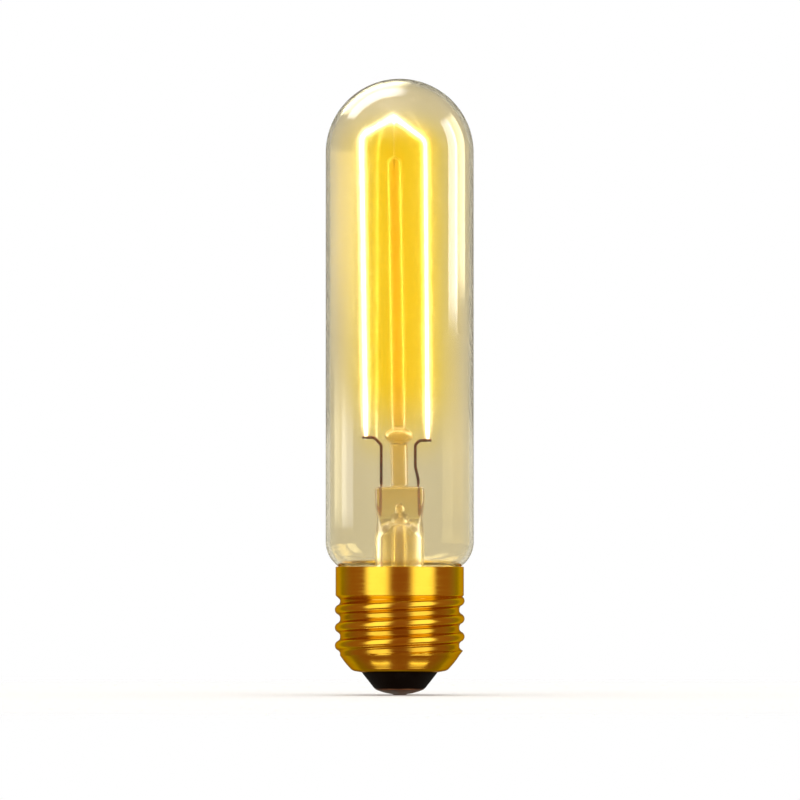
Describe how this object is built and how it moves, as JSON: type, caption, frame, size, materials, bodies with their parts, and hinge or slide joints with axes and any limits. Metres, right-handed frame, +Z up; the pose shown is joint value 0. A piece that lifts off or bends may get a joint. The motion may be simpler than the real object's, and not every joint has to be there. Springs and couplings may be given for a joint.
{
  "type": "filament light bulb",
  "caption": "Clear amber tubular filament bulb: a hairpin filament on a glass stem in a domed tube, with a brass screw cap; it lights when screwed into a lamp holder.",
  "frame": {"origin": "tip of the centre contact, on the axis of the cap", "axes": "+Z up the axis of the bulb from the cap to the crown; the plane of the filament is X-Z, seen from -Y as in the picture"},
  "size_m": [0.03, 0.03, 0.125],
  "materials": {
    "amber_glass": "clear, amber tinted",
    "stem_glass": "clear",
    "hook_wire": "drawn",
    "filament_wire": "coiled, glowing",
    "lead_wire": "oxidised",
    "copper_wire": "oxidised copper",
    "cap_brass": "polished",
    "black_glass": "moulded black glass",
    "contact_metal": "tarnished",
    "solder": "dull",
    "cement": "matt"
  },
  "bodies": {
    "root": {"glass_envelope": "amber_glass", "stem_flare": "stem_glass", "exhaust_tube": "stem_glass", "support_rod": "stem_glass", "filament_hook": "hook_wire", "filament": "filament_wire", "inner_lead_left": "lead_wire", "inner_lead_right": "lead_wire", "press_seal_left": "copper_wire", "press_seal_right": "copper_wire", "outer_lead_centre": "copper_wire", "outer_lead_side": "copper_wire", "screw_shell": "cap_brass", "insulator": "black_glass", "centre_contact": "contact_metal", "centre_solder": "solder", "side_solder": "solder", "cap_cement": "cement"}
  },
  "joints": []
}
